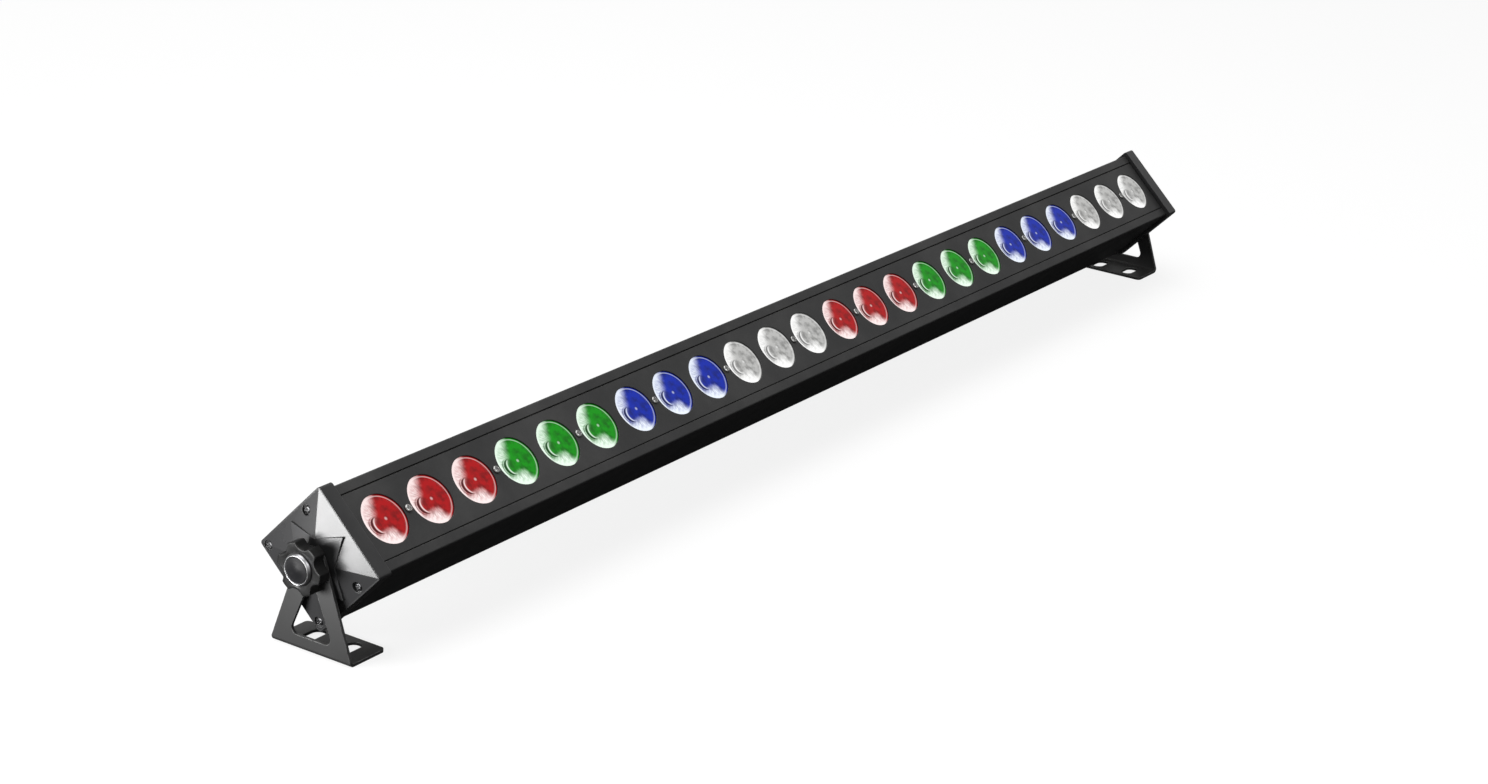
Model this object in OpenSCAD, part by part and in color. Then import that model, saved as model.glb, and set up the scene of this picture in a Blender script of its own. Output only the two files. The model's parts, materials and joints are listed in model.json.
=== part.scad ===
// LED strip batten: a one-metre row of lensed emitters in a square aluminium
// housing, held at both ends by tilting foot brackets with clamping knobs.
//
// Frame: X runs along the batten, -Y is the side the lenses look towards,
// +Z is up. The origin lies on the floor, below the tilt axis, at mid-length.
// Pieces of the batten itself are drawn in a flat frame, where the lenses look
// along +Z and the tilt axis is X, and in_batten() turns and lifts them.

/* [Batten] */
// Angle of the lens axis above the horizon
lens_elevation = 46.6; // [0:0.1:90]
// Length of housing beyond the first and the last lens cell
end_margin = 10.6; // [10.6:0.1:60]
// Width of each front rail beside the dark joint
rail_w = 6.55; // [4:0.05:12]
// Depth of the housing from its front rails to its back
housing_d = 59; // [48:0.2:80]
// How far the tilt axis lies in front of the housing's mid-depth
axis_offset = 0.9; // [0:0.1:3]
// Wall thickness of the extrusion
housing_wall = 2.2; // [1.6:0.1:3]
// Radius of the long outer edges
housing_edge_r = 1.2; // [0.4:0.1:2]
// Thickness of the web that carries the emitters' heat away
web_t = 3; // [2:0.1:4]

/* [Front panel] */
// Thickness of the drilled strip
panel_t = 2; // [1.5:0.1:3]
// Width of the dark joint on each side of the strip
panel_gap = 0.8; // [0.3:0.1:1.2]
// How far the strip lies below the rails
panel_drop = 0.3; // [0:0.1:1]
// Width of the ledge under each edge of the strip
ledge_w = 2.9; // [2:0.1:5]
// Thickness of that ledge
ledge_t = 2; // [1:0.1:3]

/* [Lenses] */
// Number of lenses
lens_count = 24; // [8:2:24]
// Diameter of a lens
lens_d = 32.8; // [24:0.2:50]
// Room between a lens and the head of the screw beside it
head_margin = 1.4; // [0.6:0.1:5]
// Thickness of the lens rim
lens_rim_t = 3; // [2:0.1:4]
// Height of a lens from its foot to its face
lens_h = 12.8; // [10:0.1:14]
// How far the lens face lies below the panel's face
lens_drop = 0.8; // [0:0.1:2]
// Diameter of the lens foot over the emitter
lens_foot_d = 11; // [9:0.5:13]
// Diameter of the hollow over the emitter
lens_well_d = 6.4; // [5.6:0.2:7]

/* [End caps] */
// Thickness of the sleeve where the housing comes nearest to the cap's side
cap_side_wall = 1.25; // [1:0.05:3]
// Length of the sleeve that laps over the housing
cap_lap = 7.7; // [4:0.1:14]
// Thickness of the cap's end wall
cap_wall = 2; // [1.6:0.1:4]
// Corner radius of the cap
cap_corner_r = 2; // [1:0.1:3]
// Margin between the cap's side and the foot of its facets
facet_margin = 0.9; // [0.5:0.1:1.5]
// Margin between the cap's side and the tips of its raised star
star_margin = 4.3; // [1.5:0.1:10]
// Height of the star's flat middle above the rim
star_h = 4.2; // [3.4:0.1:6]
// Height of the star's flat middle above the facets' inner edges
star_step = 0.46; // [0.3:0.02:1]
// Height of the star's tips above the rim
star_tip_h = 2.2; // [1.5:0.1:3]
// Thickness of the seal between cap and housing
gasket_t = 1; // [0.5:0.1:2]

/* [Brackets] */
// Gap between the foot and the corners of the cap that turn above it
swing_gap = 10.26; // [2:0.01:40]
// Thickness of the bracket's sheet
bracket_t = 2; // [1.5:0.1:3]
// Width of the bracket at the floor
bracket_w = 59.4; // [50:0.2:90]
// Radius of the bracket's rounded top
bracket_top_r = 10.3; // [9.6:0.1:14]
// Length of the foot, measured along the batten
foot_length = 31.2; // [28:0.2:50]
// Radius of the foot's corners
foot_corner_r = 3; // [1:0.5:6]
// Inner radius of the bend between plate and foot
bend_r = 1.2; // [1:0.1:2]
// Width of each foot slot
slot_w = 9.4; // [5:0.1:11]
// Length of each foot slot
slot_length = 18; // [12:0.5:20]
// Distance between the two slots of a foot
slot_spacing = 27; // [20:1:36]
// Distance from a slot's middle to the bracket's outer face
slot_inset = 17.8; // [14:0.1:20]
// Height of the lower edge of the triangular window above the floor
window_low = 9.2; // [8:0.2:14]
// Height of the window's rounded tip below the tilt axis
window_tip = 12.5; // [12:0.5:20]
// Half width of the window's lower edge
window_half_w = 16.5; // [10:0.5:18]

/* [Knobs and pivots] */
// Diameter of the threaded stud
stud_d = 6; // [5:0.5:6]
// Diameter over the knob's lobes
knob_d = 32.2; // [28:0.2:40]
// Diameter across the knob's hollows
knob_waist_d = 25.6; // [24:0.2:30]
// Number of lobes
knob_lobes = 6; // [4:1:8]
// Angle of one lobe about the tilt axis, from the lens axis
knob_lobe_angle = 54.6; // [0:0.2:60]
// Thickness of the knob's lobed part
knob_t = 8.8; // [5:0.2:14]
// Height of the collar under the knob's lobes
knob_collar_h = 1.4; // [0.6:0.2:6]
// Diameter of the bright button in the knob
button_disc_d = 19.6; // [14:0.2:24]
// Thickness of the bright button above the knob
button_disc_h = 2.2; // [1:0.1:4]
// Thickness of the inner friction washer
inner_washer_t = 0.4; // [0.3:0.1:1]
// Thickness of the outer washer under the knob
outer_washer_t = 0.8; // [0.5:0.1:2]
// Diameter of both washers
washer_d = 19; // [16:0.5:22]
// Across-flats size of the clamp nut
nut_flats = 10; // [8:0.5:10]
// Thickness of the clamp nut
nut_t = 5; // [4:0.2:6]
// Thread length that shows past the clamp nut
stud_spare = 2; // [1:0.5:4]

/* [Rear panel] */
// Distance of the rear panel from the housing's left end
rear_inset = 99.6; // [20:0.1:200]
// Width of the rear panel
rear_w = 46; // [40:1:50]
// Thickness of the rear panel
rear_t = 1.2; // [1:0.1:2]
// Diameter of a menu button
key_d = 7; // [5:0.5:8]
// Distance between menu buttons
key_pitch = 12; // [11:0.5:13]
// Travel of a menu button
key_travel = 1.5; // [0.5:0.1:1.5]

/* [Fasteners and fits] */
// Diameter of the machine screws
screw_d = 3; // [2.5:0.1:3]
// Diameter of the screw heads
screw_head_d = 5.4; // [5:0.1:6]
// Height of the screw heads
screw_head_h = 1.7; // [1.2:0.1:2.4]
// Radial clearance of a turning or threaded fit
running_gap = 0.05; // [0.02:0.01:0.1]
// Clearance between pieces that are laid together
assembly_gap = 0.15; // [0.1:0.05:0.3]
// Clearance around pieces that move past each other
moving_gap = 0.3; // [0.3:0.05:0.5]
// Play on each side of the bracket between its washers
plate_gap = 0.1; // [0.05:0.05:0.3]

/* [Hidden] */
$fn = 72;
tiny = 0.01;
bury = 1; // how deep a raised shape reaches into the body that carries it
tilt = 90 - lens_elevation;
screw_r = screw_d / 2;
head_r = screw_head_d / 2;
tapped_r = screw_r + running_gap;
clear_r = screw_r + 0.25;

// Lens cells, and the widths that follow from them
lens_pitch = lens_d + screw_head_d + 2 * head_margin;
cup_r = lens_pitch / 2 - 1;
cup_gap = 0.75;
channel_w = 2 * (cup_r + cup_gap + ledge_w);
panel_w = channel_w - 2 * panel_gap;
housing_w = channel_w + 2 * rail_w;
housing_length = lens_count * lens_pitch + 2 * end_margin;

// Flat-frame heights of the housing's shelves, front to back
rail_z = housing_d / 2 - axis_offset;
back_z = rail_z - housing_d;
panel_top_z = rail_z - panel_drop;
panel_low_z = panel_top_z - panel_t;
ledge_low_z = panel_low_z - ledge_t;
lens_top_z = panel_top_z - lens_drop;
lens_foot_z = lens_top_z - lens_h;
emitter_h = 2.1;
chip_h = 0.7; // height of an emitter's base
board_t = 1.6;
board_top_z = lens_foot_z - 0.5;
board_low_z = board_top_z - board_t;
web_top_z = board_low_z;
web_low_z = web_top_z - web_t;
inner_w = housing_w - 2 * housing_wall;
board_half = cup_r - 0.5;
emitter_half = (lens_well_d / 2 - 0.513) / sqrt(2);

// Screw ports that run the length of the extrusion
port_r = screw_r + 1.6;
port_y = housing_w / 2 - port_r;
port_low_z = back_z + port_r;
port_high_z = web_top_z + 1.4;
port_points = [for (s = [-1, 1], z = [port_low_z, port_high_z]) [s * port_y, z]];

// Stations along X, from the housing's end outwards
end_x = housing_length / 2;
floor_x = end_x + gasket_t;
rim_x = floor_x + cap_wall;
star_x = rim_x + star_h;
plate_in_x = star_x + inner_washer_t + plate_gap;
plate_out_x = plate_in_x + bracket_t;
knob_x = plate_out_x + outer_washer_t + 2 * plate_gap;
lobe_x = knob_x + knob_collar_h;
knob_top_x = lobe_x + knob_t;

// Cap details
cap_half = max(housing_w / 2, rail_z, -back_z) + assembly_gap + cap_side_wall;
cap_reach = sqrt(2) * (cap_half - cap_corner_r) + cap_corner_r;
pivot_h = cap_reach + swing_gap + bracket_t;
facet_half = cap_half - facet_margin;
facet_h = star_h - star_step;
nut_r = nut_flats / 2 / cos(30);
boss_r = nut_r + 1.6;
boss_length = nut_t + 4;
boss_x = floor_x - boss_length;
counterbore_r = head_r + 0.6;
star_flat = washer_d / 2 + 0.2; // half side of the star's flat middle
star_waist = star_flat + 0.6; // distance of its inner corners along each side
star_tip = cap_half - star_margin;
seat_depth = 0.8;

// Knob details
stud_r = stud_d / 2;
stud_bore_r = stud_r + running_gap;
stud_head_h = 4;
stud_head_x = knob_top_x - stud_head_h - 1;
scallop_r = 6.5;

// Slots of the feet, seen from above
slot_x = plate_out_x - slot_inset;

// Rear panel
rear_face_z = back_z - rear_t;
rear_screw_inset = head_r + 0.8;
rear_land = rear_screw_inset + screw_r + 1; // its overlap on the housing
inlet_size = [27, 20];
inlet_flange = [31, 26];
inlet_mouth = [23, 15.6];
inlet_depth = 16;
flange_t = 1.5;
socket_r = 11.8;
socket_flange = [26, 31];
socket_mouth_r = 9.2;
socket_depth = 20;
contact_r = 1.2;
contact_ring_r = 5.6;
window_size = [34, 16];
window_lip = 1.5;
window_t = 1.5;
key_rise = 1.6;
socket_gap = 5;
key_flange_t = 1;
key_flange_r = key_d / 2 + 1.1;
key_stem_r = 1.5;
control_z = back_z + 12;
switch_h = 3;

// Rear panel layout along X: the free width before each piece, and the places
// that follow, counted from the panel's middle
inlet_gap = 9.5;
window_gap = 3.5;
keys_gap = 9.5;
data_gap = 5.5;
last_gap = 13;
keys_w = 3 * key_pitch + key_d;
rear_length = inlet_gap + inlet_flange[0] + window_gap + window_size[0] + keys_gap + keys_w
    + data_gap + 2 * socket_flange[0] + socket_gap + last_gap;
inlet_x = inlet_gap + inlet_flange[0] / 2 - rear_length / 2;
window_x = inlet_x + inlet_flange[0] / 2 + window_gap + window_size[0] / 2;
keys_x = window_x + window_size[0] / 2 + keys_gap + keys_w / 2;
data_in_x = keys_x + keys_w / 2 + data_gap + socket_flange[0] / 2;
data_out_x = data_in_x + socket_flange[0] + socket_gap;
rear_x = rear_inset + rear_length / 2 - end_x;
rear_hole_w = rear_w - 2 * rear_land;
rear_hole_length = rear_length - 2 * rear_land;
control_half = rear_hole_w / 2 - 1;

// Power supply
supply_x = rear_x + rear_length / 2 + 67;
supply_half = inner_w / 2 - 3.5;
supply_z = back_z + 2 * port_r + 0.5;
supply_top_z = supply_z + board_t;
tall_z = web_low_z - 8.2; // top of its tallest part

LENS_NODES = [for (i = [1 : lens_count]) str("lens_", i < 10 ? "0" : "", i)];

// ---------------------------------------------------------------- helpers

// Turns and lifts pieces from the batten's flat frame into the row's frame
module in_batten() {
    translate([0, 0, pivot_h]) rotate([tilt, 0, 0]) children();
}

// Draws a piece of the right end, or its mirror image at the left end
module at_end(side) {
    if (side > 0) children();
    else mirror([1, 0, 0]) children();
}

// Extrudes a Y-Z outline along X, from x0 to x1
module along_x(x0, x1) {
    translate([x0, 0, 0]) rotate([90, 0, 90]) linear_extrude(x1 - x0) children();
}

// A cylinder along X, from x0 to x1
module rod_x(x0, x1, r) {
    translate([x0, 0, 0]) rotate([0, 90, 0]) cylinder(h = x1 - x0, r = r);
}

// A box given by its low and high corners
module block(low, high) {
    translate(low) cube(high - low);
}

// The two touching points of the outer tangent from circle a to circle b
function tangent(a, ra, b, rb) =
    let (d = (b - a) / norm(b - a),
         lean = asin((ra - rb) / norm(b - a)),
         out = [d[1], -d[0]] * cos(lean) + d * sin(lean))
    [a + ra * out, b + rb * out];

// A convex outline through round corners, given anticlockwise
module round_outline(corners, radii) {
    count = len(corners);
    polygon([for (i = [0 : count - 1], p = tangent(corners[i], radii[i],
        corners[(i + 1) % count], radii[(i + 1) % count])) p]);
    for (i = [0 : count - 1]) translate(corners[i]) circle(r = radii[i]);
}

// A rectangle with round corners, given by its low and high corners
module round_rect(low, high, r) {
    round_outline([[low[0] + r, low[1] + r], [high[0] - r, low[1] + r],
                   [high[0] - r, high[1] - r], [low[0] + r, high[1] - r]], [r, r, r, r]);
}

// A slot of the given overall length and width, along X
module slot_outline(length, width) {
    round_outline([[width / 2 - length / 2, 0], [length / 2 - width / 2, 0]],
                  [width / 2, width / 2]);
}

// A pan-head screw along +Z, with its head's underside at z = 0
module screw(length) {
    difference() {
        union() {
            translate([0, 0, -length]) cylinder(h = length + tiny, r = screw_r);
            cylinder(h = screw_head_h - 0.5, r = head_r);
            translate([0, 0, screw_head_h - 0.5]) cylinder(h = 0.5, r1 = head_r, r2 = head_r - 0.6);
        }
        for (turn = [0, 90]) rotate([0, 0, turn])
            block([-1.5, -0.3, screw_head_h - 0.9], [1.5, 0.3, screw_head_h + 1]);
    }
}

// Places a child at each of the holder screws
module at_holders() {
    for (k = [1 : lens_count / 2])
        translate([(2 * k - 1 - lens_count / 2) * lens_pitch, 0, 0]) children();
}

// Places a child at each corner screw of the rear panel
module at_rear_screws() {
    for (x = [-1, 0, 1], s = [-1, 1])
        translate([rear_x + x * (rear_length / 2 - rear_screw_inset),
                   s * (rear_w / 2 - rear_screw_inset), 0]) children();
}

// ---------------------------------------------------------------- housing

module housing_outline() {
    difference() {
        union() {
            difference() {
                round_rect([-housing_w / 2, back_z], [housing_w / 2, rail_z], housing_edge_r);
                translate([-inner_w / 2, back_z + housing_wall])
                    square([inner_w, web_low_z - back_z - housing_wall]);
                translate([-inner_w / 2, web_top_z])
                    square([inner_w, ledge_low_z - web_top_z]);
                translate([-channel_w / 2, panel_low_z])
                    square([channel_w, rail_z - panel_low_z + 1]);
                translate([ledge_w - channel_w / 2, ledge_low_z - tiny])
                    square([channel_w - 2 * ledge_w, panel_low_z - ledge_low_z + 2 * tiny]);
            }
            for (p = port_points) translate(p) circle(r = port_r);
        }
        for (p = port_points) translate(p) circle(r = tapped_r);
    }
}

module housing() {
    color([0.19, 0.19, 0.19]) in_batten() difference() {
        along_x(-end_x, end_x) housing_outline();
        at_holders() translate([0, 0, web_low_z - 1]) cylinder(h = web_t + 2, r = tapped_r);
        block([rear_x - rear_hole_length / 2, -rear_hole_w / 2, back_z - 1],
              [rear_x + rear_hole_length / 2, rear_hole_w / 2, back_z + housing_wall + 1]);
        at_rear_screws() translate([0, 0, back_z - 1]) cylinder(h = housing_wall + 2, r = tapped_r);
        // room for the caps' bosses
        for (side = [-1, 1]) at_end(side) rod_x(boss_x - 1, end_x + 1, boss_r + assembly_gap);
    }
}

module front_panel() {
    color([0.2, 0.2, 0.2]) in_batten() difference() {
        block([-end_x, -panel_w / 2, panel_low_z], [end_x, panel_w / 2, panel_top_z]);
        for (i = [1 : lens_count]) at_lens(i)
            translate([0, 0, panel_low_z - 1]) cylinder(h = panel_t + 2, r = lens_d / 2 + assembly_gap);
        at_holders() translate([0, 0, panel_low_z - 1]) cylinder(h = panel_t + 2, r = clear_r);
    }
}

// ---------------------------------------------------------------- optics

function lens_tint(i) =
    [[0.75, 0.08, 0.1], [0.05, 0.6, 0.1], [0.08, 0.2, 0.75], [0.88, 0.9, 0.9]]
    [floor((i - 1) / 3) % 4];

module at_lens(i) {
    translate([(i - (lens_count + 1) / 2) * lens_pitch, 0, 0]) children();
}

// A collimating lens: a thick rim over a tapering body, hollow above the emitter
module lens(i) {
    rim_z = lens_top_z - lens_rim_t;
    color(lens_tint(i)) in_batten() at_lens(i) rotate_extrude()
        polygon([[0, lens_foot_z + 5], [lens_well_d / 2 - 0.6, lens_foot_z + 5],
                 [lens_well_d / 2, lens_foot_z], [lens_foot_d / 2, lens_foot_z],
                 [lens_d / 2 - 1.6, rim_z], [lens_d / 2, rim_z],
                 [lens_d / 2, lens_top_z - 0.5], [lens_d / 2 - 0.5, lens_top_z],
                 [0, lens_top_z]]);
}

// Twelve moulded cups, each for two lenses, clamped under the panel by one screw
module lens_holders() {
    rim_z = lens_top_z - lens_rim_t;
    color([0.08, 0.08, 0.08]) in_batten() at_holders() difference() {
        translate([0, 0, board_top_z]) linear_extrude(panel_low_z - board_top_z)
            slot_outline(lens_pitch + 2 * cup_r, 2 * cup_r);
        for (s = [-0.5, 0.5]) translate([s * lens_pitch, 0, 0]) rotate_extrude()
            polygon([[0, board_top_z - 1], [lens_foot_d / 2 + 1, board_top_z - 1],
                     [lens_foot_d / 2 + 1, lens_foot_z],
                     [lens_d / 2 - 1.6 + assembly_gap, rim_z],
                     [lens_d / 2 + assembly_gap, rim_z],
                     [lens_d / 2 + assembly_gap, panel_low_z + 1], [0, panel_low_z + 1]]);
        translate([0, 0, board_top_z - 1])
            cylinder(h = panel_low_z - board_top_z + 2, r = clear_r);
    }
}

module led_board() {
    color([0.9, 0.9, 0.86]) in_batten() difference() {
        block([-end_x + 10, -board_half, board_low_z], [end_x - 10, board_half, board_top_z]);
        at_holders() translate([0, 0, board_low_z - 1]) cylinder(h = board_t + 2, r = clear_r);
    }
}

module led_emitters() {
    color([0.95, 0.85, 0.4]) in_batten() for (i = [1 : lens_count]) at_lens(i) {
        pad([2, 2] * emitter_half, board_top_z, board_top_z + chip_h);
        translate([0, 0, board_top_z + chip_h - tiny])
            cylinder(h = emitter_h - chip_h, r = emitter_half - 0.4);
    }
}

module panel_screws() {
    color("silver") in_batten() at_holders()
        translate([0, 0, panel_top_z]) screw(panel_top_z - web_low_z);
}

// ---------------------------------------------------------------- end caps

// A square pyramid stump along X: half side a0 at x0, half side a1 at x1
module stump_x(x0, x1, a0, a1) {
    translate([x0, 0, 0]) rotate([0, 90, 0]) rotate([0, 0, 45])
        cylinder(h = x1 - x0, r1 = a0 * sqrt(2), r2 = a1 * sqrt(2), $fn = 4);
}

module star_outline() {
    polygon([for (turn = [0 : 90 : 270], p = [[star_tip, 0], [star_waist, star_waist]])
        [p[0] * cos(turn) - p[1] * sin(turn), p[0] * sin(turn) + p[1] * cos(turn)]]);
}

module end_cap(side) {
    facet_slope = facet_h / (facet_half - star_flat);
    arm_slope = (star_h - star_tip_h) / (star_tip - star_flat);
    color([0.22, 0.22, 0.22]) in_batten() at_end(side) difference() {
        union() {
            difference() {
                along_x(end_x - cap_lap, rim_x)
                    round_rect([-cap_half, -cap_half], [cap_half, cap_half], cap_corner_r);
                along_x(end_x - cap_lap - 1, floor_x)
                    round_rect([-housing_w / 2 - assembly_gap, back_z - assembly_gap],
                               [housing_w / 2 + assembly_gap, rail_z + assembly_gap], housing_edge_r);
            }
            stump_x(rim_x - tiny, rim_x + facet_h, facet_half + tiny / facet_slope, star_flat);
            intersection() {
                along_x(rim_x - bury, star_x + bury) star_outline();
                stump_x(rim_x - bury, star_x, star_flat + (star_h + bury) / arm_slope, star_flat);
            }
            rod_x(boss_x, floor_x + bury, boss_r);
        }
        rod_x(boss_x - 1, star_x + 1, stud_bore_r + 0.15);
        translate([boss_x - 1, 0, 0]) rotate([0, 90, 0])
            cylinder(h = nut_t + 1.1, r = nut_r + 0.1, $fn = 6);
        for (p = port_points) translate([0, p[0], p[1]]) {
            rod_x(floor_x - 1, rim_x + 1, clear_r);
            rod_x(rim_x - seat_depth, star_x, counterbore_r);
        }
    }
}

module end_gaskets() {
    ring = 2 * port_r + 0.2;
    color([0.1, 0.1, 0.1]) in_batten() for (side = [-1, 1]) at_end(side)
        along_x(end_x, floor_x) difference() {
            round_rect([-housing_w / 2, back_z], [housing_w / 2, rail_z], housing_edge_r);
            round_rect([ring - housing_w / 2, back_z + ring],
                       [housing_w / 2 - ring, rail_z - ring], 2);
            for (p = port_points) translate(p) circle(r = clear_r);
        }
}

module end_cap_screws() {
    color("silver") in_batten() for (side = [-1, 1]) at_end(side)
        for (p = port_points) translate([rim_x - seat_depth, p[0], p[1]])
            rotate([0, 90, 0]) screw(12);
}

// ---------------------------------------------------------------- brackets

module bracket_plate_outline() {
    low = bend_r + bracket_t;
    half = bracket_w / 2;
    round_outline([[-half + 0.4, low], [half - 0.4, low], [0, pivot_h]],
                  [0.4, 0.4, bracket_top_r]);
}

module bracket_window_outline() {
    round_outline([[-window_half_w, window_low] + [6, 4], [window_half_w, window_low] + [-6, 4],
                   [0, pivot_h - window_tip - 3]], [4, 4, 3]);
}

module bracket(side) {
    bend_out = bend_r + bracket_t;
    half = bracket_w / 2;
    color([0.27, 0.27, 0.27]) at_end(side) {
        difference() {
            along_x(plate_in_x, plate_out_x) bracket_plate_outline();
            along_x(plate_in_x - 1, plate_out_x + 1) bracket_window_outline();
            translate([0, 0, pivot_h]) rod_x(plate_in_x - 1, plate_out_x + 1, stud_bore_r);
        }
        // bend
        translate([plate_out_x - bend_out, half, bend_out]) rotate([90, 0, 0])
            linear_extrude(bracket_w) intersection() {
                difference() {
                    circle(r = bend_out);
                    circle(r = bend_r);
                }
                translate([0, -bend_out]) square([bend_out, bend_out]);
            }
        // foot
        linear_extrude(bracket_t) difference() {
            round_rect([plate_out_x - foot_length, -half],
                       [plate_out_x - bend_out + 5, half], foot_corner_r);
            translate([plate_out_x - bend_out, -half - 1]) square([10, bracket_w + 2]);
            for (s = [-1, 1]) translate([slot_x, s * slot_spacing / 2])
                slot_outline(slot_length, slot_w);
        }
    }
}

// ---------------------------------------------------------------- pivots

module washer_ring(x0, x1) {
    along_x(x0, x1) difference() {
        circle(r = washer_d / 2);
        circle(r = stud_bore_r + 0.15);
    }
}

module pivot_washers(side) {
    color([0.12, 0.12, 0.12]) in_batten() at_end(side) {
        washer_ring(star_x, star_x + inner_washer_t);
        washer_ring(plate_out_x + plate_gap, plate_out_x + plate_gap + outer_washer_t);
    }
}

module knob_outline() {
    difference() {
        circle(r = knob_d / 2);
        for (i = [0 : knob_lobes - 1])
            rotate(knob_lobe_angle + 90 + (i + 0.5) * 360 / knob_lobes)
                translate([knob_waist_d / 2 + scallop_r, 0]) circle(r = scallop_r);
    }
}

module knob(side) {
    color([0.16, 0.16, 0.16]) in_batten() at_end(side) difference() {
        union() {
            rod_x(knob_x, lobe_x + 1, washer_d / 2);
            along_x(lobe_x, knob_top_x) knob_outline();
        }
        rod_x(knob_x - 1, knob_top_x, stud_bore_r);
        translate([stud_head_x, 0, 0]) rotate([0, 90, 0])
            cylinder(h = knob_top_x - stud_head_x + 1, r = nut_r + running_gap, $fn = 6);
    }
}

module knob_stud(side) {
    color("silver") in_batten() at_end(side) {
        rod_x(boss_x - stud_spare, stud_head_x + tiny, stud_r);
        translate([stud_head_x, 0, 0]) rotate([0, 90, 0])
            cylinder(h = stud_head_h, r = nut_r, $fn = 6);
    }
}

// Bright-rimmed disc that closes the knob over the stud's head
module knob_button(side) {
    button_r = button_disc_d / 2;
    crest_r = button_r - 1;
    spigot_r = nut_flats / 2 - 0.2;
    dish = 0.4;
    color([0.6, 0.6, 0.6]) in_batten() at_end(side) translate([knob_top_x, 0, 0])
        rotate([0, 90, 0]) rotate_extrude()
            polygon([[0, -0.8], [spigot_r, -0.8], [spigot_r, 0], [button_r, 0],
                     [button_r, button_disc_h / 3], [crest_r, button_disc_h],
                     [crest_r - 0.5, button_disc_h], [crest_r - 0.7, button_disc_h - dish],
                     [0, button_disc_h - dish]]);
}

module clamp_nut(side) {
    color("silver") in_batten() at_end(side) difference() {
        translate([boss_x, 0, 0]) rotate([0, 90, 0]) cylinder(h = nut_t, r = nut_r, $fn = 6);
        rod_x(boss_x - 1, boss_x + nut_t + 1, stud_bore_r);
    }
}

// ---------------------------------------------------------------- electronics

module power_supply() {
    floor_z = back_z + housing_wall;
    base_z = supply_top_z - tiny;
    color([0.1, 0.35, 0.2]) in_batten() translate([supply_x, 0, 0]) {
        block([0, -supply_half, supply_z], [280, supply_half, supply_top_z]);
        for (x = [10, 140, 270], s = [-1, 1]) translate([x, s * (supply_half - 6), floor_z])
            cylinder(h = supply_z - floor_z + tiny, r = 3);
        for (x = [20, 46]) translate([x, 0, base_z]) cylinder(h = tall_z - base_z, r = 11);
        block([70, -17, base_z], [110, 17, tall_z - 2]);
        block([130, -16, base_z], [164, 16, tall_z - 4]);
        for (x = [190, 212, 234]) translate([x, 8, base_z]) cylinder(h = tall_z - 6 - base_z, r = 8);
        block([180, 2 - supply_half, base_z], [270, 4 - supply_half, tall_z - 4]);
    }
}

module control_board() {
    low_x = window_x - window_size[0] / 2 - window_lip - 3.4;
    high_x = keys_x + keys_w / 2 + 2.5;
    color([0.1, 0.35, 0.2]) in_batten() translate([rear_x, 0, 0]) {
        block([low_x, -control_half, control_z], [high_x, control_half, control_z + board_t]);
        for (x = [low_x + 1.4, high_x - 1.4], s = [-1, 1])
            translate([x, s * (control_half - 2), 0]) pad([2.4, 4], back_z, control_z + tiny);
        translate([window_x, 0, 0]) pad(window_size - [4, 4], back_z + 2.6, control_z + tiny);
        for (k = [0 : 3]) at_key(k) pad([6, 6], control_z - switch_h, control_z + tiny);
    }
}

// ---------------------------------------------------------------- rear panel

// Middle of menu button k, counted along X from the panel's middle
module at_key(k) {
    translate([keys_x + (k - 1.5) * key_pitch, 0, 0]) children();
}

// A centred box of the given X-Y size, from z0 to z1
module pad(size, z0, z1) {
    block([-size[0] / 2, -size[1] / 2, z0], [size[0] / 2, size[1] / 2, z1]);
}

module rear_panel() {
    gap = [2, 2] * assembly_gap;
    z0 = rear_face_z - 1;
    z1 = back_z + 1;
    color([0.15, 0.15, 0.15]) in_batten() difference() {
        translate([rear_x, 0, rear_face_z]) linear_extrude(rear_t)
            round_rect([-rear_length / 2, -rear_w / 2], [rear_length / 2, rear_w / 2], 3);
        translate([rear_x, 0, 0]) {
            translate([inlet_x, 0, 0]) pad(inlet_size + gap, z0, z1);
            translate([window_x, 0, 0]) pad(window_size + gap, z0, z1);
            for (x = [data_in_x, data_out_x]) translate([x, 0, z0])
                cylinder(h = z1 - z0, r = socket_r + assembly_gap);
            for (k = [0 : 3]) at_key(k) translate([0, 0, z0])
                cylinder(h = z1 - z0, r = key_d / 2 + moving_gap);
        }
        at_rear_screws() translate([0, 0, z0]) cylinder(h = z1 - z0, r = clear_r);
    }
}

module rear_panel_screws() {
    color("silver") in_batten() at_rear_screws() translate([0, 0, rear_face_z])
        rotate([180, 0, 0]) screw(rear_t + housing_wall + 2);
}

// Recessed appliance inlet with three contact blades
module power_inlet() {
    mouth_z = rear_face_z - flange_t;
    color([0.08, 0.08, 0.08]) in_batten() translate([rear_x + inlet_x, 0, 0]) {
        difference() {
            union() {
                pad(inlet_flange, mouth_z, rear_face_z);
                pad(inlet_size, mouth_z, mouth_z + inlet_depth + 3);
            }
            pad(inlet_mouth, mouth_z - 1, mouth_z + inlet_depth);
        }
        for (p = [[-7, 2], [0, -2], [7, 2]]) translate([p[0], p[1], mouth_z + 8])
            block([-1, -2, 0], [1, 2, inlet_depth - 8 + tiny]);
    }
}

module socket_body() {
    mouth_z = rear_face_z - flange_t;
    difference() {
        union() {
            pad(socket_flange, mouth_z, rear_face_z);
            translate([0, 0, mouth_z]) cylinder(h = socket_depth, r = socket_r);
        }
        translate([0, 0, mouth_z - 1]) cylinder(h = socket_depth - 2, r = socket_mouth_r);
    }
}

// Places a child at each of the three contacts of a data socket
module at_contacts() {
    for (turn = [30, 150, 270]) rotate([0, 0, turn]) translate([contact_ring_r, 0, 0]) children();
}

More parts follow.
